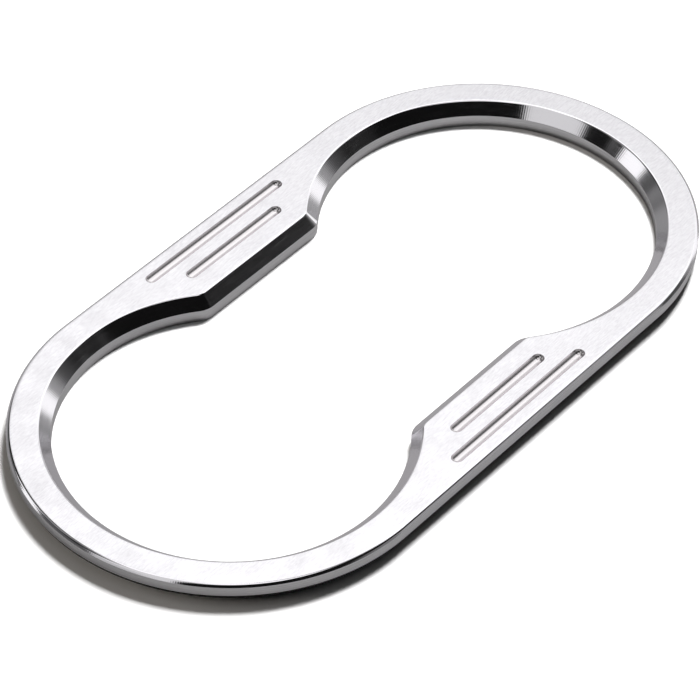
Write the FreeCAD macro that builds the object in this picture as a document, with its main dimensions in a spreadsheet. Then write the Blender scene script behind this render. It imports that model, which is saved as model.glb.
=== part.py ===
import FreeCAD, Part
import math
import os

import Sketcher

# Trim ring for a pair of cup wells. One billet of aluminium is milled to a stadium-shaped
# flange with a locating lip below it; the opening is two round wells joined by a waist
# between two pads. Foam tape under the flange holds the ring to its panel.
#
# Frame: X along the length, Y across, Z up. The origin is the middle of the lip's foot,
# so the ring stands on Z = 0 when it lies on a table.

SNAP = 0.0001  # two heights this close are the same height

document = FreeCAD.newDocument("TrimRing")
sheet = document.addObject("Spreadsheet::Sheet", "Dimensions")

DIMENSIONS = [
    # outline of the flange
    ("WellSpacingHalf", 46.2, "centre of each well from the middle"),
    ("FlangeRadius", 50.0, "outer wall of the flange round each well centre"),
    ("FlangeThick", 3.1, "height of the flange's outer wall and chamfer"),
    ("OuterChamfer", 0.65, "45 degree chamfer round the top outer edge"),
    # lip that drops into the panel
    ("LipInset", 6.0, "from the flange's outer wall in to the lip's outer wall"),
    ("LipHeight", 2.8, "how far the lip stands below the flange"),
    ("EdgeBreak", 0.1, "small chamfer on the lower edges"),
    # opening
    ("WellRadius", 40.1, "wall of each round well"),
    ("WaistHalf", 30.15, "wall of each pad from the long centre line"),
    ("PadCorner", 6.0, "radius between a pad's wall and a well's wall"),
    ("Bevel", 2.75, "polished 45 degree bevel round the top of the opening"),
    # grooves cut with a ball-nosed cutter
    ("BallRadius", 1.5, "radius of the ball-nosed cutter"),
    ("GrooveDepth", 1.0, "how deep the ball runs"),
    ("OuterGrooveTravel", 44.4, "travel of the ball along the groove near the edge"),
    ("InnerGrooveTravel", 29.8, "travel of the ball along the groove near the waist"),
    ("OuterGrooveY", 45.15, "groove near the edge from the long centre line"),
    ("InnerGrooveY", 39.15, "groove near the waist from the long centre line"),
    # foam tape under the flange
    ("TapeWidth", 5.0, "width of the tape"),
    ("TapeThick", 1.0, "thickness of the tape"),
    ("TapeSetback", 0.5, "from the flange's outer wall in to the tape"),
    ("TapeGapHalf", 0.4, "half of the gap between two strips"),
]

for row, (name, size, note) in enumerate(DIMENSIONS, start=1):
    sheet.set("A%d" % row, name)
    sheet.set("B%d" % row, str(size))
    sheet.set("C%d" % row, note)
    sheet.setAlias("B%d" % row, name)
document.recompute()


def size_of(name):
    """The number held by one cell of the sheet."""
    return float(sheet.get(name))


def bound(name):
    """The expression that reads one cell of the sheet."""
    return "Dimensions." + name


def point(x, y):
    return FreeCAD.Vector(x, y, 0)


def arc(centre, radius, start, end):
    """Anticlockwise arc between two angles in radians."""
    circle = Part.Circle(centre, FreeCAD.Vector(0, 0, 1), radius)
    return Part.ArcOfCircle(circle, start, end)


def new_body(label):
    body = document.addObject("PartDesign::Body", label)
    body.Label = label
    return body


def new_sketch(body, name, role="XY_Plane", height=None):
    """Sketch on one of the body's own origin planes, lifted along its normal by an expression."""
    plane = [item for item in body.Origin.OriginFeatures if item.Role == role][0]
    sketch = body.newObject("Sketcher::SketchObject", name)
    sketch.AttachmentSupport = [(plane, "")]
    sketch.MapMode = "FlatFace"
    if height:
        sketch.setExpression("AttachmentOffset.Base.z", height)
    return sketch


def constrain(sketch, kind, *where):
    return sketch.addConstraint(Sketcher.Constraint(kind, *where))


def drive(sketch, expression, kind, *where):
    """Adds a measured constraint and binds it to the sheet."""
    index = constrain(sketch, kind, *where)
    sketch.setExpression("Constraints[%d]" % index, expression)


def pad(body, name, sketch, length):
    feature = body.newObject("PartDesign::Pad", name)
    feature.Profile = sketch
    feature.setExpression("Length", length)
    sketch.Visibility = False
    return feature


def place_well_centre(sketch, arc_index, side):
    """Holds an arc's centre on the long axis, one well spacing from the middle."""
    spacing = size_of("WellSpacingHalf")
    constrain(sketch, "PointOnObject", arc_index, 3, -1)
    if side > 0:
        drive(sketch, bound("WellSpacingHalf"), "DistanceX", -1, 1, arc_index, 3, spacing)
    else:
        drive(sketch, bound("WellSpacingHalf"), "DistanceX", arc_index, 3, -1, 1, spacing)


def draw_stadium(sketch, radius, expression):
    """Two half circles round the well centres, joined by straight sides."""
    spacing = size_of("WellSpacingHalf")
    quarter = math.pi / 2
    sketch.addGeometry([
        arc(point(spacing, 0), radius, -quarter, quarter),
        Part.LineSegment(point(spacing, radius), point(-spacing, radius)),
        arc(point(-spacing, 0), radius, quarter, 3 * quarter),
        Part.LineSegment(point(-spacing, -radius), point(spacing, -radius)),
    ], False)
    for first, second in ((0, 1), (1, 2), (2, 3), (3, 0)):
        constrain(sketch, "Tangent", first, 2, second, 1)
    place_well_centre(sketch, 0, 1)
    place_well_centre(sketch, 2, -1)
    constrain(sketch, "Equal", 0, 2)
    drive(sketch, expression, "Radius", 0, radius)


def draw_opening(sketch):
    """Two wells and the waist between the pads, with every pad corner rounded."""
    spacing = size_of("WellSpacingHalf")
    well = size_of("WellRadius")
    waist = size_of("WaistHalf")
    corner = size_of("PadCorner")
    # A corner's centre lies one corner radius behind the pad's wall and behind the well's wall.
    rise = waist + corner
    run = math.sqrt((well + corner) ** 2 - rise ** 2)
    corner_x = spacing - run
    swing = math.pi - math.atan2(rise, run)
    quarter = math.pi / 2
    turn = math.pi - swing
    sketch.addGeometry([
        arc(point(spacing, 0), well, -swing, swing),
        arc(point(corner_x, rise), corner, -quarter, -turn),
        Part.LineSegment(point(corner_x, waist), point(-corner_x, waist)),
        arc(point(-corner_x, rise), corner, math.pi + turn, 3 * quarter),
        arc(point(-spacing, 0), well, math.pi - swing, math.pi + swing),
        arc(point(-corner_x, -rise), corner, quarter, math.pi - turn),
        Part.LineSegment(point(-corner_x, -waist), point(corner_x, -waist)),
        arc(point(corner_x, -rise), corner, turn, quarter),
    ], False)
    # The pad corners turn the other way from the wells, so they join end to end and start to start.
    joints = ((0, 2, 1, 2), (1, 1, 2, 1), (2, 2, 3, 2), (3, 1, 4, 1),
              (4, 2, 5, 2), (5, 1, 6, 1), (6, 2, 7, 2), (7, 1, 0, 1))
    for first, first_end, second, second_end in joints:
        constrain(sketch, "Tangent", first, first_end, second, second_end)
    place_well_centre(sketch, 0, 1)
    place_well_centre(sketch, 4, -1)
    constrain(sketch, "Equal", 0, 4)
    drive(sketch, bound("WellRadius"), "Radius", 0, well)
    for other in (3, 5, 7):
        constrain(sketch, "Equal", 1, other)
    drive(sketch, bound("PadCorner"), "Radius", 1, corner)
    constrain(sketch, "Horizontal", 2)
    constrain(sketch, "Horizontal", 6)
    drive(sketch, bound("WaistHalf"), "DistanceY", -1, 1, 2, 1, waist)
    drive(sketch, bound("WaistHalf"), "DistanceY", 6, 1, -1, 1, waist)


def edges_at(shape, height, reach_low, reach_high):
    """Names of the edges that lie flat at one height, by how far out they reach from the centres."""
    spacing = size_of("WellSpacingHalf")
    names = []
    for number, edge in enumerate(shape.Edges, start=1):
        box = edge.BoundBox
        flat = abs(box.ZMin - height) < SNAP and abs(box.ZMax - height) < SNAP
        if not flat:
            continue
        middle = edge.valueAt((edge.FirstParameter + edge.LastParameter) / 2)
        beyond = max(abs(middle.x) - spacing, 0)
        reach = math.hypot(beyond, middle.y)
        if reach_low < reach < reach_high:
            names.append("Edge%d" % number)
    return names


def chamfer(body, name, base, edges, expression):
    feature = body.newObject("PartDesign::Chamfer", name)
    feature.Base = (base, edges)
    feature.setExpression("Size", expression)
    document.recompute()
    if feature.Shape.Volume >= base.Shape.Volume:
        raise RuntimeError(name + " removed nothing")
    return feature


# The ring: lip and flange are one solid, padded together, then the opening is milled through.
ring = new_body("trim_ring")

lip_radius = size_of("FlangeRadius") - size_of("LipInset")
lip_sketch = new_sketch(ring, "LipOutline")
draw_stadium(lip_sketch, lip_radius, "Dimensions.FlangeRadius - Dimensions.LipInset")
pad(ring, "Lip", lip_sketch, "Dimensions.LipHeight + Dimensions.FlangeThick")

flange_sketch = new_sketch(ring, "FlangeOutline", height=bound("LipHeight"))
draw_stadium(flange_sketch, size_of("FlangeRadius"), bound("FlangeRadius"))
flange = pad(ring, "Flange", flange_sketch, bound("FlangeThick"))

opening_sketch = new_sketch(ring, "OpeningOutline")
draw_opening(opening_sketch)
document.recompute()
opening = ring.newObject("PartDesign::Pocket", "Opening")
opening.Profile = opening_sketch
opening.Type = "ThroughAll"
opening.Reversed = True
opening_sketch.Visibility = False
document.recompute()
if opening.Shape.Volume >= flange.Shape.Volume:
    raise RuntimeError("the opening removed nothing")

# Edges: a wide polished bevel round the opening, a narrow chamfer outside, broken edges below.
top = size_of("LipHeight") + size_of("FlangeThick")
past = size_of("EdgeBreak")
well_reach = size_of("WellRadius") + past
lip_reach = lip_radius + past
far_reach = size_of("FlangeRadius") + past

bevel = chamfer(ring, "OpeningBevel", opening,
                edges_at(opening.Shape, top, 0, well_reach), bound("Bevel"))
rim = chamfer(ring, "OuterRim", bevel,
              edges_at(bevel.Shape, top, lip_reach, far_reach), bound("OuterChamfer"))
flange_foot = chamfer(ring, "FlangeFoot", rim,
                      edges_at(rim.Shape, size_of("LipHeight"), lip_reach, far_reach),
                      bound("EdgeBreak"))
lip_foot = chamfer(ring, "LipFoot", flange_foot,
                   edges_at(flange_foot.Shape, 0, 0, lip_reach), bound("EdgeBreak"))


def groove(name, travel, across):
    """A ball-nosed cutter runs along X: its path is a round-ended rod that bites into the pad."""
    sketch = new_sketch(ring, name + "Path", role="XZ_Plane", height="-" + bound(across))
    half = size_of(travel) / 2
    ball = size_of("BallRadius")
    level = top - size_of("GrooveDepth") + ball
    quarter = math.pi / 2
    sketch.addGeometry([
        Part.LineSegment(point(-half - ball, level), point(half + ball, level)),
        arc(point(half, level), ball, -quarter, 0),
        Part.LineSegment(point(half, level - ball), point(-half, level - ball)),
        arc(point(-half, level), ball, 2 * quarter, 3 * quarter),
    ], False)
    constrain(sketch, "Coincident", 0, 2, 1, 2)
    constrain(sketch, "Tangent", 1, 1, 2, 1)
    constrain(sketch, "Tangent", 2, 2, 3, 2)
    constrain(sketch, "Coincident", 3, 1, 0, 1)
    constrain(sketch, "Horizontal", 0)
    constrain(sketch, "PointOnObject", 1, 3, 0)
    constrain(sketch, "PointOnObject", 3, 3, 0)
    drive(sketch, bound("BallRadius"), "Radius", 1, ball)
    drive(sketch, bound(travel) + " / 2", "DistanceX", -1, 1, 1, 3, half)
    drive(sketch, bound(travel) + " / 2", "DistanceX", 3, 3, -1, 1, half)
    height = "Dimensions.LipHeight + Dimensions.FlangeThick - Dimensions.GrooveDepth"
    drive(sketch, height + " + Dimensions.BallRadius", "DistanceY", -1, 1, 1, 3, level)
    document.recompute()
    before = ring.Tip.Shape.Volume
    feature = ring.newObject("PartDesign::Groove", name)
    feature.Profile = sketch
    feature.ReferenceAxis = (sketch, ["Edge1"])
    feature.Angle = 360
    sketch.Visibility = False
    document.recompute()
    if feature.Shape.Volume >= before:
        raise RuntimeError(name + " removed nothing")
    return feature


outer_groove = groove("OuterGroove", "OuterGrooveTravel", "OuterGrooveY")
inner_groove = groove("InnerGroove", "InnerGrooveTravel", "InnerGrooveY")

# The same two grooves on the pad across the waist.
across_plane = [item for item in ring.Origin.OriginFeatures if item.Role == "XZ_Plane"][0]
grooved = ring.newObject("PartDesign::Mirrored", "GroovesAcross")
grooved.Originals = [outer_groove, inner_groove]
grooved.MirrorPlane = (across_plane, [""])
ring.Tip = grooved
document.recompute()
if grooved.Shape.Volume >= inner_groove.Shape.Volume:
    raise RuntimeError("the mirrored grooves removed nothing")

# Foam tape: die-cut strips on the flange's underside, one round each end and one along each side.
TAPE_LEVEL = "Dimensions.LipHeight - Dimensions.TapeThick"
TAPE_OUTER = "Dimensions.FlangeRadius - Dimensions.TapeSetback"
TAPE_INNER = TAPE_OUTER + " - Dimensions.TapeWidth"
tape_outer = size_of("FlangeRadius") - size_of("TapeSetback")
tape_inner = tape_outer - size_of("TapeWidth")


def tape_end(label, side):
    """Half a ring of tape round one well, stopping short of the straight strips."""
    body = new_body(label)
    sketch = new_sketch(body, label + "_outline", height=TAPE_LEVEL)
    centre = point(side * size_of("WellSpacingHalf"), 0)
    reach = size_of("WellSpacingHalf") + size_of("TapeGapHalf")
    cut_x = side * reach
    outer_angle = math.asin(size_of("TapeGapHalf") / tape_outer)
    inner_angle = math.asin(size_of("TapeGapHalf") / tape_inner)
    start = -side * math.pi / 2
    finish = start + math.pi
    sketch.addGeometry([
        arc(centre, tape_outer, start + outer_angle, finish - outer_angle),
        arc(centre, tape_inner, start + inner_angle, finish - inner_angle),
        Part.LineSegment(point(cut_x, -side * tape_outer), point(cut_x, -side * tape_inner)),
        Part.LineSegment(point(cut_x, side * tape_outer), point(cut_x, side * tape_inner)),
    ], False)
    place_well_centre(sketch, 0, side)
    constrain(sketch, "Coincident", 0, 3, 1, 3)
    for line, end in ((2, 1), (3, 2)):
        constrain(sketch, "Coincident", line, 1, 0, end)
        constrain(sketch, "Coincident", line, 2, 1, end)
        constrain(sketch, "Vertical", line)
    drive(sketch, TAPE_OUTER, "Radius", 0, tape_outer)
    drive(sketch, TAPE_INNER, "Radius", 1, tape_inner)
    for line in (2, 3):
        ends = (-1, 1, line, 1) if side > 0 else (line, 1, -1, 1)
        drive(sketch, "Dimensions.WellSpacingHalf + Dimensions.TapeGapHalf",
              "DistanceX", *ends, reach)
    pad(body, label + "_tape", sketch, bound("TapeThick"))
    return body


def tape_side(label, side):
    """One straight strip of tape beside a pad."""
    body = new_body(label)
    sketch = new_sketch(body, label + "_outline", height=TAPE_LEVEL)
    half = size_of("WellSpacingHalf") - size_of("TapeGapHalf")
    low, high = sorted((side * tape_inner, side * tape_outer))
    corners = [point(-half, low), point(half, low), point(half, high), point(-half, high)]
    lines = [Part.LineSegment(corners[i], corners[(i + 1) % 4]) for i in range(4)]
    sketch.addGeometry(lines, False)
    for i in range(4):
        constrain(sketch, "Coincident", i, 2, (i + 1) % 4, 1)
    for line, direction in ((0, "Horizontal"), (2, "Horizontal"), (1, "Vertical"), (3, "Vertical")):
        constrain(sketch, direction, line)
    length = "Dimensions.WellSpacingHalf - Dimensions.TapeGapHalf"
    drive(sketch, length, "DistanceX", -1, 1, 1, 1, half)
    drive(sketch, length, "DistanceX", 3, 2, -1, 1, half)
    if side > 0:
        drive(sketch, TAPE_INNER, "DistanceY", -1, 1, 0, 1, tape_inner)
        drive(sketch, TAPE_OUTER, "DistanceY", -1, 1, 2, 1, tape_outer)
    else:
        drive(sketch, TAPE_OUTER, "DistanceY", 0, 1, -1, 1, tape_outer)
        drive(sketch, TAPE_INNER, "DistanceY", 2, 1, -1, 1, tape_inner)
    pad(body, label + "_tape", sketch, bound("TapeThick"))
    return body


tapes = [
    tape_end("tape_right_end", 1),
    tape_end("tape_left_end", -1),
    tape_side("tape_back_side", 1),
    tape_side("tape_front_side", -1),
]
document.recompute()

# Nothing is written unless every object computed and every piece is one sound solid.
for item in document.Objects:
    if "Invalid" in item.State or "Error" in item.State:
        raise RuntimeError("%s did not compute: %s" % (item.Label, item.State))
for body in [ring] + tapes:
    shape = body.Shape
    if shape.isNull() or not shape.isValid() or len(shape.Solids) != 1:
        raise RuntimeError(body.Label + " is not one sound solid")

os.makedirs("parts", exist_ok=True)
for body in [ring] + tapes:
    body.Shape.exportStep("parts/%s.step" % body.Label)
    box = body.Shape.BoundBox
    print("%-16s volume %9.1f mm3  x %.2f..%.2f  y %.2f..%.2f  z %.2f..%.2f" % (
        body.Label, body.Shape.Volume, box.XMin, box.XMax, box.YMin, box.YMax,
        box.ZMin, box.ZMax))
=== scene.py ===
import bmesh
import bpy
import numpy as np
from mathutils import Matrix, Vector


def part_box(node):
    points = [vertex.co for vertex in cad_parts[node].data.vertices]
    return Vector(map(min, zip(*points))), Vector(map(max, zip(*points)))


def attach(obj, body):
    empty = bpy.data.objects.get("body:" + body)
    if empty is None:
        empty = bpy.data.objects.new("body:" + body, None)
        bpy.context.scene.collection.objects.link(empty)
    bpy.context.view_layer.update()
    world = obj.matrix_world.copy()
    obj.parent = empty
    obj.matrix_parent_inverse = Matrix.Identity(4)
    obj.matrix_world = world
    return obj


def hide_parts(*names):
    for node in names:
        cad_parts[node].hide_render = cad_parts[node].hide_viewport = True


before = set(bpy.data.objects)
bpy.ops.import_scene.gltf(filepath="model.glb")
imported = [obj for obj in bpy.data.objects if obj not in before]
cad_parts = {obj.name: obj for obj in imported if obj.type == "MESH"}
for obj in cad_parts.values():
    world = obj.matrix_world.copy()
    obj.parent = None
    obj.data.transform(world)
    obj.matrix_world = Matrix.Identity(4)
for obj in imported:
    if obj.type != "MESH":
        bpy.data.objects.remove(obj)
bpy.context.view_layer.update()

MM = 0.001  # the script works in metres, like the frame


# ---- Trim ring ---------------------------------------------------------------------------
# One plate of 6061 aluminium, profiled and pocketed on a milling machine, then chamfered round
# the rim and the opening, grooved with a ball cutter, and lapped flat on top. Laid loose on a
# table it rests on the lip round its opening, which holds the flange clear of the surface.

ring_low, ring_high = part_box("trim_ring")
TOP = ring_high.z
FLANGE_RADIUS = ring_high.y
WELL_X = ring_high.x - ring_high.y
FLANGE_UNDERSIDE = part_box("tape_back_side")[1].z
LIP_INSET = 6.0 * MM
RIM_CHAMFER = 0.65 * MM
EDGE_BREAK = 0.1 * MM
WELL_RADIUS = 40.1 * MM
WAIST_HALF = 30.15 * MM
PAD_CORNER = 6.0 * MM
BEVEL = 2.75 * MM
ARRIS = 0.04 * MM
TOP_ARRIS = 0.3 * MM
RIM_ARRIS = 0.44 * MM


def full_turn(quarter):
    """Closed loop from its first quarter, which runs from the +X tip to the middle of the +Y side.

    The second quarter is the first mirrored in X and run backwards, and the other two are
    those two turned half a turn.
    """
    mirrored = quarter[-2::-1] * (-1, 1)
    half = np.vstack((quarter, mirrored))[:-1]
    return np.vstack((half, -half))


def opening_quarter():
    """First quarter of the opening's wall line, and the unit normals that point into the metal.

    It is an arc of the well's radius about the well's axis, a small arc the other way where it
    touches the pad's rounded corner, and a straight line along the pad.
    """
    well_points, corner_points, pad_points = 140, 29, 12
    corner_y = WAIST_HALF + PAD_CORNER
    corner_x = WELL_X - np.sqrt((WELL_RADIUS + PAD_CORNER) ** 2 - corner_y ** 2)
    meet = np.arctan2(corner_y, corner_x - WELL_X)
    turn = np.linspace(0, meet, well_points)
    arc_normal = np.column_stack((np.cos(turn), np.sin(turn)))
    arc = (WELL_X, 0) + WELL_RADIUS * arc_normal
    turn = np.linspace(meet - np.pi, -np.pi / 2, corner_points)[1:]
    corner_normal = -np.column_stack((np.cos(turn), np.sin(turn)))
    corner = (corner_x, corner_y) - PAD_CORNER * corner_normal
    x = np.linspace(corner_x, 0, pad_points)[1:]
    pad = np.column_stack((x, np.full_like(x, WAIST_HALF)))
    pad_normal = np.zeros_like(pad) + (0, 1)
    return np.vstack((arc, corner, pad)), np.vstack((arc_normal, corner_normal, pad_normal))


def eased(profile, ease, steps=4):
    """Every corner of an open profile made a small curve, and its two end points dropped.

    Each corner b becomes (1-s)^2 a + 2 s (1-s) b + s^2 c, with a and c on its two sides at
    the distance ease from it. A point a quarter further out on each side keeps the flats flat.
    """
    further = 1.25
    profile = np.array(profile)
    corner = profile[1:-1]
    back = profile[:-2] - corner
    ahead = profile[2:] - corner
    reach = np.array(ease)[..., None]
    back = reach * back / np.linalg.norm(back, axis=1, keepdims=True)
    ahead = reach * ahead / np.linalg.norm(ahead, axis=1, keepdims=True)
    s = np.linspace(0, 1, steps + 1)[:, None, None]
    curve = corner + (1 - s) ** 2 * back + s ** 2 * ahead
    whole = np.concatenate((corner[None] + further * back, curve, corner[None] + further * ahead))
    return np.moveaxis(whole, 0, 1).reshape(-1, 2)


def closed_grid(rows, columns, both_ways=False):
    """Quads of a grid that closes round its columns and, if asked for both ways, its rows too.

    Point (i, j) has the number i * columns + j, and each quad runs (i, j), (i + 1, j),
    (i + 1, j + 1), (i, j + 1).
    """
    here, beside = np.arange(columns), (np.arange(columns) + 1) % columns
    row = np.arange(rows)[:, None] * columns
    below = np.roll(row, -1, axis=0)
    quads = np.stack((row + here, below + here, below + beside, row + beside), axis=-1)
    return quads[:rows if both_ways else rows - 1].reshape(-1, 4)


def new_piece(name, points, faces):
    """Object made from an array of points and a list of faces, in the scene, at the origin."""
    mesh = bpy.data.meshes.new(name)
    mesh.from_pydata(points.tolist(), [], faces)
    piece = bpy.data.objects.new(name, mesh)
    bpy.context.scene.collection.objects.link(piece)
    return piece


wall, wall_normal = opening_quarter()
axis = np.column_stack((np.minimum(wall[:, 0], WELL_X), np.zeros(len(wall))))
spoke = wall - (WELL_X, 0)
spoke = spoke / np.linalg.norm(spoke, axis=1, keepdims=True)
flange_normal = np.where(wall[:, :1] > WELL_X, spoke, (0, 1))
wall, wall_normal, axis, flange_normal = map(full_turn, (wall, wall_normal, axis, flange_normal))

# The section of the ring, from the top of the rim chamfer down round the flange to the lip's
# foot, as (inset from the flange's edge, height), and then up the opening, as (distance into
# the metal from the wall line, height). The first and last points only give a direction.
outside = eased((
    (3 * RIM_CHAMFER, TOP),
    (RIM_CHAMFER, TOP),
    (0, TOP - RIM_CHAMFER),
    (0, FLANGE_UNDERSIDE + EDGE_BREAK),
    (EDGE_BREAK, FLANGE_UNDERSIDE),
    (LIP_INSET, FLANGE_UNDERSIDE),
    (LIP_INSET, EDGE_BREAK),
    (LIP_INSET + EDGE_BREAK, 0),
    (LIP_INSET + 3 * EDGE_BREAK, 0),
), (RIM_ARRIS, ARRIS, ARRIS, ARRIS, ARRIS, ARRIS, ARRIS))
inside = eased((
    (3 * EDGE_BREAK, 0),
    (EDGE_BREAK, 0),
    (0, EDGE_BREAK),
    (0, TOP - BEVEL),
    (BEVEL, TOP),
    (2 * BEVEL, TOP),
), (ARRIS, ARRIS, ARRIS, TOP_ARRIS))
outer_rows = axis + (FLANGE_RADIUS - outside[:, :1, None]) * flange_normal
inner_rows = wall + inside[:, :1, None] * wall_normal
plan = np.concatenate((outer_rows, inner_rows))
height = np.concatenate((outside[:, 1], inside[:, 1]))
rows, columns = plan.shape[:2]
points = np.concatenate((plan, np.broadcast_to(height[:, None, None], (rows, columns, 1))), axis=2)
quads = closed_grid(rows, columns, both_ways=True)
ring = new_piece("lapped_trim_ring", points.reshape(-1, 3), quads.tolist())


def linear(hex_colour):
    """sRGB hex colour as linear RGBA."""
    srgb = np.array([int(hex_colour[i:i + 2], 16) for i in (1, 3, 5)]) / 255
    return (*np.where(srgb <= 0.04045, srgb / 12.92, ((srgb + 0.055) / 1.055) ** 2.4), 1)


def add(tree, kind, links=None, values=None, **settings):
    """New node, with its properties, its sockets' values and the sockets that feed its inputs."""
    node = tree.nodes.new(kind)
    for name, value in settings.items():
        setattr(node, name, value)
    for socket, value in (values or {}).items():
        node.inputs[socket].default_value = value
    for socket, source in (links or {}).items():
        tree.links.new(source, node.inputs[socket])
    return node


def bare_aluminium(name, colour=None, roughness=None):
    """Clean bare aluminium: full metal, no coating, and as bright as its finish leaves it. A
    finish gives the colour or roughness here where it is the same all over."""
    material = bpy.data.materials.new(name)
    material.use_nodes = True
    tree = material.node_tree
    shader = tree.nodes["Principled BSDF"]
    shader.inputs["Metallic"].default_value = 1
    if colour:
        shader.inputs["Base Color"].default_value = linear(colour)
    if roughness:
        shader.inputs["Roughness"].default_value = roughness
    return material, tree, shader


def wave_scale(pitch):
    """Scale of a wave texture that repeats at the given pitch: it turns by 20 radians for each
    unit of distance and scale, and a whole turn is 2 pi."""
    return 2 * np.pi / (20 * pitch)


def lapped():
    """Face rubbed on fine paper along its length: a bright haze of straight scratches, with a
    second weaker set across them where the paper was turned. Each scratch scatters a little
    light away, so it reads as a faint duller line. Real ones are about 0.02 mm apart; these are
    drawn ten or more times as coarse, so that they show."""
    material, tree, shader = bare_aluminium("lapped_aluminium")
    place = add(tree, "ShaderNodeTexCoord").outputs["Object"]
    scratches = []
    for turn, gap, length in ((0.22, 0.24 * MM, 1.7 * MM), (-0.62, 0.3 * MM, 1.2 * MM)):
        grain = add(tree, "ShaderNodeMapping", {"Vector": place},
                    {"Rotation": (0, 0, turn), "Scale": (1 / length, 1 / gap, 1 / gap)})
        scratches.append(add(tree, "ShaderNodeTexNoise", {"Vector": grain.outputs[0]},
                             {"Scale": 1, "Detail": 3, "Roughness": 0.6}).outputs["Fac"])
    both = add(tree, "ShaderNodeMath", {0: scratches[0], 1: scratches[1]}, operation="ADD")
    dulling = add(tree, "ShaderNodeMapRange", {"Value": both.outputs[0]},
                  {"From Min": 0.78, "From Max": 1.22})
    tone = add(tree, "ShaderNodeMix", {0: dulling.outputs[0]},
               {6: linear("#E6E4E8"), 7: linear("#F6F5F8")}, data_type="RGBA")
    tree.links.new(tone.outputs[2], shader.inputs["Base Color"])
    bump = add(tree, "ShaderNodeBump", {"Height": both.outputs[0]},
               {"Strength": 1, "Distance": 0.006 * MM})
    tree.links.new(bump.outputs[0], shader.inputs["Normal"])
    patch = 7 * MM
    cloud = add(tree, "ShaderNodeTexNoise", {"Vector": place}, {"Scale": 1 / patch, "Detail": 3})
    haze = add(tree, "ShaderNodeMapRange", {"Value": cloud.outputs["Fac"]},
               {"From Min": 0.3, "From Max": 0.7, "To Min": 0.32, "To Max": 0.42})
    tree.links.new(haze.outputs[0], shader.inputs["Roughness"])
    return material


def mirror_cut():
    """Chamfer cut with a polished tool: a mirror with fine drag lines along the cut, and across it
    the ripple of the tool's teeth, which only shows as bars where two reflections meet. Real
    drag lines are hundredths of a millimetre apart and a real ripple a tenth; both are drawn
    about five times as coarse, so that they show."""
    material, tree, shader = bare_aluminium("bright_cut_aluminium", "#F4F2F6")
    path = add(tree, "ShaderNodeUVMap", uv_map="path").outputs[0]
    length, gap, tooth = 9 * MM, 0.18 * MM, 0.55 * MM
    drag = add(tree, "ShaderNodeMapping", {"Vector": path}, {"Scale": (1 / length, 1 / gap, 1)})
    lines = add(tree, "ShaderNodeTexNoise", {"Vector": drag.outputs[0]}, {"Scale": 1, "Detail": 2})
    haze = add(tree, "ShaderNodeMapRange", {"Value": lines.outputs["Fac"]},
               {"From Min": 0.35, "From Max": 0.65, "To Min": 0.04, "To Max": 0.13})
    tree.links.new(haze.outputs[0], shader.inputs["Roughness"])
    ripple = add(tree, "ShaderNodeTexWave", {"Vector": path},
                 {"Scale": wave_scale(tooth), "Distortion": 0, "Detail": 0},
                 bands_direction="X", wave_profile="SIN")
    bump = add(tree, "ShaderNodeBump", {"Height": ripple.outputs["Fac"]},
               {"Strength": 1, "Distance": 0.002 * MM})
    tree.links.new(bump.outputs[0], shader.inputs["Normal"])
    return material


def side_milled():
    """Wall left by the side of an end mill: satin, with faint level lines from nicks in the
    mill's edge. Real lines are finer than a tenth of a millimetre, and are drawn at 0.3 mm so
    that they show."""
    material, tree, shader = bare_aluminium("side_milled_aluminium", roughness=0.36)
    path = add(tree, "ShaderNodeUVMap", uv_map="path").outputs[0]
    length, gap = 14 * MM, 0.3 * MM
    stretch = add(tree, "ShaderNodeMapping", {"Vector": path}, {"Scale": (1 / length, 1 / gap, 1)})
    lines = add(tree, "ShaderNodeTexNoise", {"Vector": stretch.outputs[0]}, {"Scale": 1, "Detail": 2})
    shade = add(tree, "ShaderNodeMix", {0: lines.outputs["Fac"]},
                {6: linear("#D3D2D4"), 7: linear("#FFFFFF")}, data_type="RGBA")
    tree.links.new(shade.outputs[2], shader.inputs["Base Color"])
    bump = add(tree, "ShaderNodeBump", {"Height": lines.outputs["Fac"]},
               {"Strength": 1, "Distance": 0.006 * MM})
    tree.links.new(bump.outputs[0], shader.inputs["Normal"])
    return material


def face_milled():
    """Underside left by a face mill: shallow arcs round a far centre, a feed step apart. They
    catch the light as a faint sheen that turns with the eye."""
    material, tree, shader = bare_aluminium("face_milled_aluminium", "#E6E6E4", 0.28)
    place = add(tree, "ShaderNodeTexCoord").outputs["Object"]
    pitch = 0.6 * MM
    centre_x, centre_y = -350 * MM, -110 * MM
    centred = add(tree, "ShaderNodeMapping", {"Vector": place},
                  {"Location": (-centre_x, -centre_y, 0)})
    arcs = add(tree, "ShaderNodeTexWave", {"Vector": centred.outputs[0]},
               {"Scale": wave_scale(pitch), "Distortion": 0.4, "Detail": 1},
               wave_type="RINGS", rings_direction="Z")
    bump = add(tree, "ShaderNodeBump", {"Height": arcs.outputs["Fac"]},
               {"Strength": 1, "Distance": 0.005 * MM})
    tree.links.new(bump.outputs[0], shader.inputs["Normal"])
    return material


def ball_milled():
    """Groove left by a ball cutter: bright, with shallow cusps across it at the feed per tooth.
    The real feed is about 0.1 mm, and the cusps are drawn at 0.8 mm so that they show."""
    material, tree, shader = bare_aluminium("ball_milled_aluminium", "#D9D5D7", 0.22)
    place = add(tree, "ShaderNodeTexCoord").outputs["Object"]
    feed = 0.8 * MM
    cusps = add(tree, "ShaderNodeTexWave", {"Vector": place},
                {"Scale": wave_scale(feed), "Distortion": 0, "Detail": 0}, bands_direction="X")
    bump = add(tree, "ShaderNodeBump", {"Height": cusps.outputs["Fac"]},
               {"Strength": 1, "Distance": 0.001 * MM})
    tree.links.new(bump.outputs[0], shader.inputs["Normal"])
    return material


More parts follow.
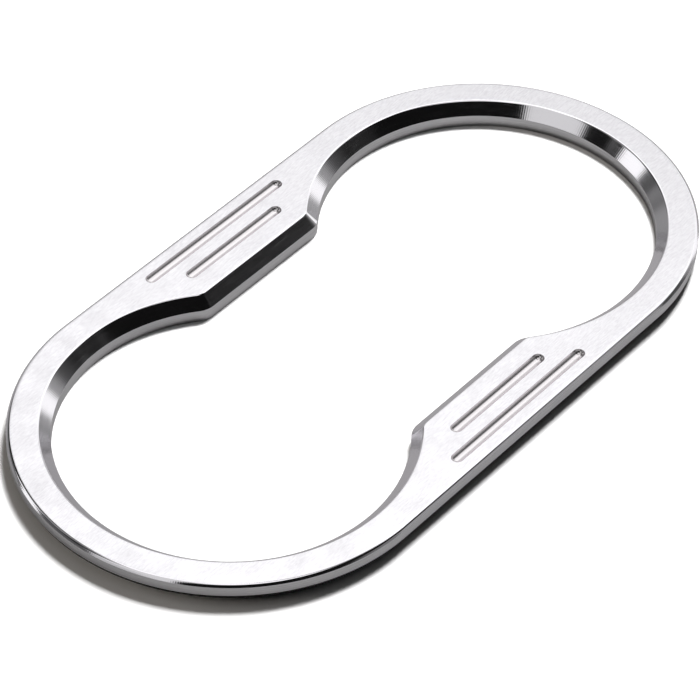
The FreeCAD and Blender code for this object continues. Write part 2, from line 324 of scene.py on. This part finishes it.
ring_finishes = [lapped(), mirror_cut(), side_milled(), face_milled(), ball_milled()]
LAPPED, CUT, SIDE, UNDER, BALL = range(5)
for finish in ring_finishes:
    ring.data.materials.append(finish)

# Each face takes the finish of the cut that made it, told by how far it looks up or down.
up = np.empty(len(quads) * 3)
ring.data.polygons.foreach_get("normal", up)
up = up.reshape(-1, 3)[:, 2]
level, upright = 0.99, 0.1
finish_of = np.select((up > level, up > upright, up > -upright), (LAPPED, CUT, SIDE), UNDER)
ring.data.polygons.foreach_set("material_index", finish_of.astype(np.int32))

# The path map: metres along the outline, and metres round the section.
closed = np.concatenate((plan, plan[:, :1]), axis=1)
along = np.zeros((rows, columns + 1))
along[:, 1:] = np.cumsum(np.linalg.norm(np.diff(closed, axis=1), axis=2), axis=1)
along[:len(outside)] = along[outside[:, 0].argmin()]
along[len(outside):] = along[len(outside) + inside[:, 0].argmin()]
step = np.linalg.norm(np.diff(np.vstack((outside, inside)), axis=0), axis=1)
across = np.concatenate(((0,), np.cumsum(step), (0,)))
i, j = np.meshgrid(np.arange(rows), np.arange(columns), indexing="ij")
after = (i + 1) % rows
corners = (
    (along[i, j], across[i]),
    (along[after, j], across[i + 1]),
    (along[after, j + 1], across[i + 1]),
    (along[i, j + 1], across[i]),
)
uv = np.stack([np.stack(pair, -1) for pair in corners], axis=2)
ring.data.uv_layers.new(name="path").data.foreach_set("uv", uv.ravel())

GROOVE_BALL = 1.5 * MM
GROOVE_DEPTH = 1.0 * MM
GROOVES = ((45.15 * MM, 22.2 * MM), (39.15 * MM, 14.9 * MM))  # distance from the middle, half travel
FLARE_OUT, FLARE_UP = 4 * ARRIS, 5 * ARRIS


def groove_cutter(y, travel):
    """Space swept by a ball-nosed cutter: at the angle a from its lowest line the sweep is
    r sin a either side of the centre line and r cos a below the ball's centre. The top flares
    a little to ease the rim."""
    section_points, end_points = 18, 31
    centre_z = TOP - GROOVE_DEPTH + GROOVE_BALL
    rim = np.arccos((centre_z - TOP + ARRIS) / GROOVE_BALL)
    a = np.linspace(0, rim, section_points)
    half_width = GROOVE_BALL * np.sin(a)
    z = centre_z - GROOVE_BALL * np.cos(a)
    half_width = np.append(half_width, half_width[-1] + FLARE_OUT)
    z = np.append(z, z[-1] + FLARE_UP)
    turn = np.linspace(-np.pi / 2, np.pi / 2, end_points)
    turn = np.concatenate((turn, turn + np.pi))
    end = np.repeat((travel, -travel), end_points)
    loops = np.empty((len(z), len(turn), 3))
    loops[..., 0] = end + half_width[:, None] * np.cos(turn)
    loops[..., 1] = y + half_width[:, None] * np.sin(turn)
    loops[..., 2] = z[:, None]
    return loops


loops = np.stack([groove_cutter(side * y, travel) for y, travel in GROOVES for side in (1, -1)])
count, depths, rim_points = loops.shape[:3]
sides = closed_grid(depths, rim_points)[:, ::-1]
lid = np.arange(rim_points)[None] + (depths - 1) * rim_points
start = np.arange(count)[:, None, None] * depths * rim_points
faces = (start + sides).reshape(-1, 4).tolist() + (start + lid).reshape(count, -1).tolist()
cutter = new_piece("groove_cutter", loops.reshape(-1, 3), faces)
for finish in ring_finishes:
    cutter.data.materials.append(finish)
cutter.data.polygons.foreach_set("material_index", np.full(len(faces), BALL, np.int32))
cutter.data.uv_layers.new(name="path")

# The lowest line of each sweep is a closed loop of no width, so its two halves are joined.
merging = bmesh.new()
merging.from_mesh(cutter.data)
bmesh.ops.remove_doubles(merging, verts=merging.verts, dist=0.0001 * MM)
merging.to_mesh(cutter.data)
merging.free()

cut = ring.modifiers.new("grooves", "BOOLEAN")
cut.operation = "DIFFERENCE"
cut.solver = "EXACT"
cut.object = cutter
cut_mesh = bpy.data.meshes.new_from_object(ring.evaluated_get(bpy.context.evaluated_depsgraph_get()))
ring.modifiers.clear()
ring.data = cut_mesh
bpy.data.objects.remove(cutter)
ring.data.shade_smooth()
ring.data.set_sharp_from_angle(angle=np.radians(30))
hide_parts("trim_ring")
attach(ring, "root")


# ---- Foam tape ---------------------------------------------------------------------------
# Four strips of black closed-cell foam tape, die cut, stuck up under the flange round the lip.
# They bed the ring on the console, and their cut edges just show in the gap below the flange.

back_low, back_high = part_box("tape_back_side")
TAPE_WIDTH = back_high.y - back_low.y
TAPE_EASE = 0.12 * MM


def tape_section(inner, outer, low, high):
    """Rounded rectangle round the strip, as (distance from the middle line, height)."""
    box = np.array(((outer, low), (outer, high), (inner, high), (inner, low)))
    return eased(np.vstack((box[-1], box, box[0])), TAPE_EASE)


def foam():
    """Closed-cell polyethylene foam: matt black, with a skin of fine burst cells."""
    material = bpy.data.materials.new("closed_cell_foam")
    material.use_nodes = True
    tree = material.node_tree
    shader = tree.nodes["Principled BSDF"]
    shader.inputs["Base Color"].default_value = linear("#17181A")
    shader.inputs["Roughness"].default_value = 0.85
    place = add(tree, "ShaderNodeTexCoord").outputs["Object"]
    cells = add(tree, "ShaderNodeTexVoronoi", {"Vector": place}, {"Scale": 1 / (0.25 * MM)})
    bump = add(tree, "ShaderNodeBump", {"Height": cells.outputs["Distance"]},
               {"Strength": 1, "Distance": 0.06 * MM})
    tree.links.new(bump.outputs[0], shader.inputs["Normal"])
    return material


foam_material = foam()
straight_points, bend_points = 60, 140
for name in ("tape_right_end", "tape_left_end", "tape_back_side", "tape_front_side"):
    low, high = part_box(name)
    if name.endswith("side"):
        section = tape_section(low.y, high.y, low.z, high.z)
        t = np.linspace(low.x, high.x, straight_points)
        strip = np.empty((len(t), len(section), 3))
        strip[..., 0] = t[:, None]
        strip[..., 1] = section[:, 0]
        strip[..., 2] = section[:, 1]
        strip = strip[::-1]
    else:
        side = np.sign(low.x + high.x)
        outer = max(abs(low.x), abs(high.x)) - WELL_X
        gap = min(abs(low.x), abs(high.x)) - WELL_X
        section = tape_section(outer - TAPE_WIDTH, outer, low.z, high.z)
        t = np.linspace(-1, 1, bend_points)[:, None] * np.arccos(gap / section[:, 0])
        strip = np.empty((*t.shape, 3))
        strip[..., 0] = side * (WELL_X + section[:, 0] * np.cos(t))
        strip[..., 1] = side * section[:, 0] * np.sin(t)
        strip[..., 2] = section[:, 1]
    length, round_it = strip.shape[:2]
    skin = closed_grid(length, round_it)
    end = np.arange(round_it)
    faces = skin[:, ::-1].tolist() + [end.tolist(), (end[::-1] + (length - 1) * round_it).tolist()]
    tape = new_piece("foam_" + name, strip.reshape(-1, 3), faces)
    tape.data.shade_smooth()
    tape.data.set_sharp_from_angle(angle=np.radians(40))
    tape.data.materials.append(foam_material)
    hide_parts(name)
    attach(tape, "root")


# ---- Table and studio --------------------------------------------------------------------
# A flat white card to stand on, under a light tent with bright and dark boards hung in it. The
# card is white to the eye, while the polished metal mirrors a grey one just below it.

FLOOR_HALF, FLOOR_Z = 1.5, -0.05 * MM
GREY_HALF, GREY_Z = 3.0, -0.1 * MM


def matt(name, colour):
    """Plain matt card."""
    material = bpy.data.materials.new(name)
    material.use_nodes = True
    shader = material.node_tree.nodes["Principled BSDF"]
    shader.inputs["Base Color"].default_value = linear(colour)
    shader.inputs["Roughness"].default_value = 1
    shader.inputs["Specular IOR Level"].default_value = 0
    return material


def flat_card(name, half, z, material):
    """Square card of the given half width at the height z."""
    corners = np.array(((-half, -half, z), (half, -half, z), (half, half, z), (-half, half, z)))
    card = new_piece(name, corners, [[0, 1, 2, 3]])
    card.data.materials.append(material)
    return card


floor = flat_card("floor", FLOOR_HALF, FLOOR_Z, matt("white_card", "#F2F2F2"))
floor.visible_glossy = False
floor.visible_shadow = False
grey_card = flat_card("grey_card", GREY_HALF, GREY_Z, matt("grey_card", "#878687"))
grey_card.visible_camera = False
grey_card.visible_diffuse = False
grey_card.visible_shadow = False

# Boards in the tent, each laid over the ones before it: azimuth from and to, elevation from and
# to, width of its soft edge, all in degrees, and how brightly it glows.
TENT_RADIUS = 1.2
BARE_CLOTH = 0.0045
BOARDS = (
    # the roof, grey all over and then bright over most of it
    (-10, 370, 64, 95, 6, 0.25),
    (15, 290, 64, 95, 6, 1.15),
    # the broad bright sheet beyond the right back, with dimmer cards low on it
    (-19, 74, 8, 80, 7, 1.06),
    (-39, 20, 38, 62, 8, 1.45),
    (10, 66, 44, 66, 7, 1.60),
    (18, 38, 18, 37.5, 5, 0.42),
    (44, 76, 8, 32, 6, 0.62),
    (2, 114, -6, 12, 5, 0.27),
    (-14, 20, -6, 4, 6, 0.30),
    # the back: dark, with one bright strip in two lengths
    (80, 97, 12, 22, 8, 0.19),
    (96, 106, 13, 30, 3, 0.09),
    (103, 106, 20, 30, 2, 0.20),
    (98, 130, 37, 62, 5, 0.25),
    (105.5, 122.0, 20, 35.5, 1.5, 1.08),
    (114.5, 128.0, 12, 21, 2, 1.04),
    (127, 152, 15, 33, 3, 0.09),
    # the left and the left front: grey
    (149.5, 193, 34, 80, 6, 0.68),
    (154, 193, 27, 36, 3, 0.52),
    (128, 168, 1, 13, 5, 0.50),
    (195, 272, 3, 30, 6, 0.42),
    # the front and the right front: dim and black cards, and one low bright strip
    (273, 303, -6, 33, 5, 0.17),
    (302, 323, 27.5, 35, 3, 0.016),
    (315, 348, 32.5, 44, 4, 0.42),
    (300, 316, -6, 27, 2.5, 0.33),
    (316, 334, -6, 24, 10, 0.08),
    (333, 342, -6, 22, 8, 0.30),
    (341.5, 352, -6, 16, 6, 1.06),
    (350, 358, -6, 7, 6, 0.36),
)


def soft_board(distance, half, edge):
    """1 inside a board, 0 outside it, and 3 s^2 - 2 s^3 across its edge."""
    s = np.clip((half - np.abs(distance)) / edge + 0.5, 0, 1)
    return s * s * (3 - 2 * s)


azimuth, elevation = np.meshgrid(np.arange(360), np.arange(-1, 90), indexing="xy")
glow = np.full(azimuth.shape, BARE_CLOTH)
for west, east, low, high, edge, brightness in BOARDS:
    turn = (azimuth - (west + east) / 2 + 180) % 360 - 180
    rise = elevation - (low + high) / 2
    cover = soft_board(turn, (east - west) / 2, edge) * soft_board(rise, (high - low) / 2, edge)
    glow = glow + (brightness - glow) * cover
around, above = np.radians((azimuth, elevation))
cloth = np.stack((np.cos(around) * np.cos(above), np.sin(around) * np.cos(above), np.sin(above)), -1)
roof = list(range(azimuth.size - azimuth.shape[1], azimuth.size))
tent_faces = closed_grid(*azimuth.shape).tolist() + [roof]
tent = new_piece("light_tent", TENT_RADIUS * cloth.reshape(-1, 3), tent_faces)
glow_of_point = tent.data.attributes.new("glow", "FLOAT", "POINT")
glow_of_point.data.foreach_set("value", glow.ravel().astype(np.float32))
tent_cloth = bpy.data.materials.new("lit_tent_cloth")
tent_cloth.use_nodes = True
tent_tree = tent_cloth.node_tree
tent_tree.nodes.clear()
tent_glow = add(tent_tree, "ShaderNodeAttribute", attribute_name="glow").outputs["Fac"]
lit = add(tent_tree, "ShaderNodeEmission", {"Strength": tent_glow}, {"Color": (1, 1, 1, 1)})
add(tent_tree, "ShaderNodeOutputMaterial", {"Surface": lit.outputs[0]})
tent.data.materials.append(tent_cloth)
tent.visible_camera = False
tent.visible_diffuse = False
tent.visible_shadow = False


def toward(azimuth, elevation):
    """Unit vector to a direction in radians: azimuth round from +X, elevation up from the table."""
    level = np.cos(elevation)
    return Vector((np.cos(azimuth) * level, np.sin(azimuth) * level, np.sin(elevation)))


LAMP_DISTANCE = 2.0


def light_box(name, azimuth, elevation, wide, tall, radiance, tint="#FFFFFF"):
    """Flat light that faces the ring from a direction given in degrees, wide and tall in degrees
    as the ring sees it, and as bright as the radiance asked for. It lights the cards and the foam,
    while the metal mirrors the tent only."""
    back = toward(*np.radians((azimuth, elevation)))
    lamp = bpy.data.lights.new(name, "AREA")
    lamp.shape = "RECTANGLE"
    lamp.size, lamp.size_y = 2 * LAMP_DISTANCE * np.tan(np.radians((wide, tall)) / 2)
    lamp.energy = np.pi * lamp.size * lamp.size_y * radiance
    lamp.color = linear(tint)[:3]
    box = bpy.data.objects.new(name, lamp)
    bpy.context.scene.collection.objects.link(box)
    box.location = back * LAMP_DISTANCE
    box.rotation_euler = back.to_track_quat("Z", "Y").to_euler()
    box.visible_camera = False
    box.visible_glossy = False


light_box("key_light", 14, 61, 15, 15, 76.0)
light_box("left_fill", 128, 15, 40, 16, 6.8, "#FFF6EC")
light_box("sky_fill", 250, 78, 60, 60, 0.15)

world = bpy.data.worlds.new("pale_room")
bpy.context.scene.world = world
world.use_nodes = True
world.node_tree.nodes["Background"].inputs["Color"].default_value = linear("#F4F4F4")
world.cycles_visibility.glossy = False
world.cycles_visibility.diffuse = False


# ---- Camera ------------------------------------------------------------------------------
# A long lens looking down on the ring from beyond its left front, as the object is seen.

AZIMUTH, ELEVATION, ROLL = np.radians((-141.369, 43.109, -1.413))
DISTANCE = 861.0 * MM
FOCAL_LENGTH_MM = 193.15
AIM_RIGHT, AIM_UP = 3.04 * MM, 7.89 * MM

back = toward(AZIMUTH, ELEVATION)
right = Vector((-np.sin(AZIMUTH), np.cos(AZIMUTH), 0))
turned = Matrix((right, back.cross(right), back)).transposed() @ Matrix.Rotation(-ROLL, 3, "Z")
lens = bpy.data.cameras.new("camera")
lens.lens = FOCAL_LENGTH_MM
camera = bpy.data.objects.new("camera", lens)
bpy.context.scene.collection.objects.link(camera)
camera.matrix_world = turned.to_4x4()
camera.location = turned @ Vector((-AIM_RIGHT, -AIM_UP, DISTANCE)) + Vector((0, 0, TOP))
bpy.context.scene.camera = camera
bpy.context.scene.view_settings.view_transform = "Standard"
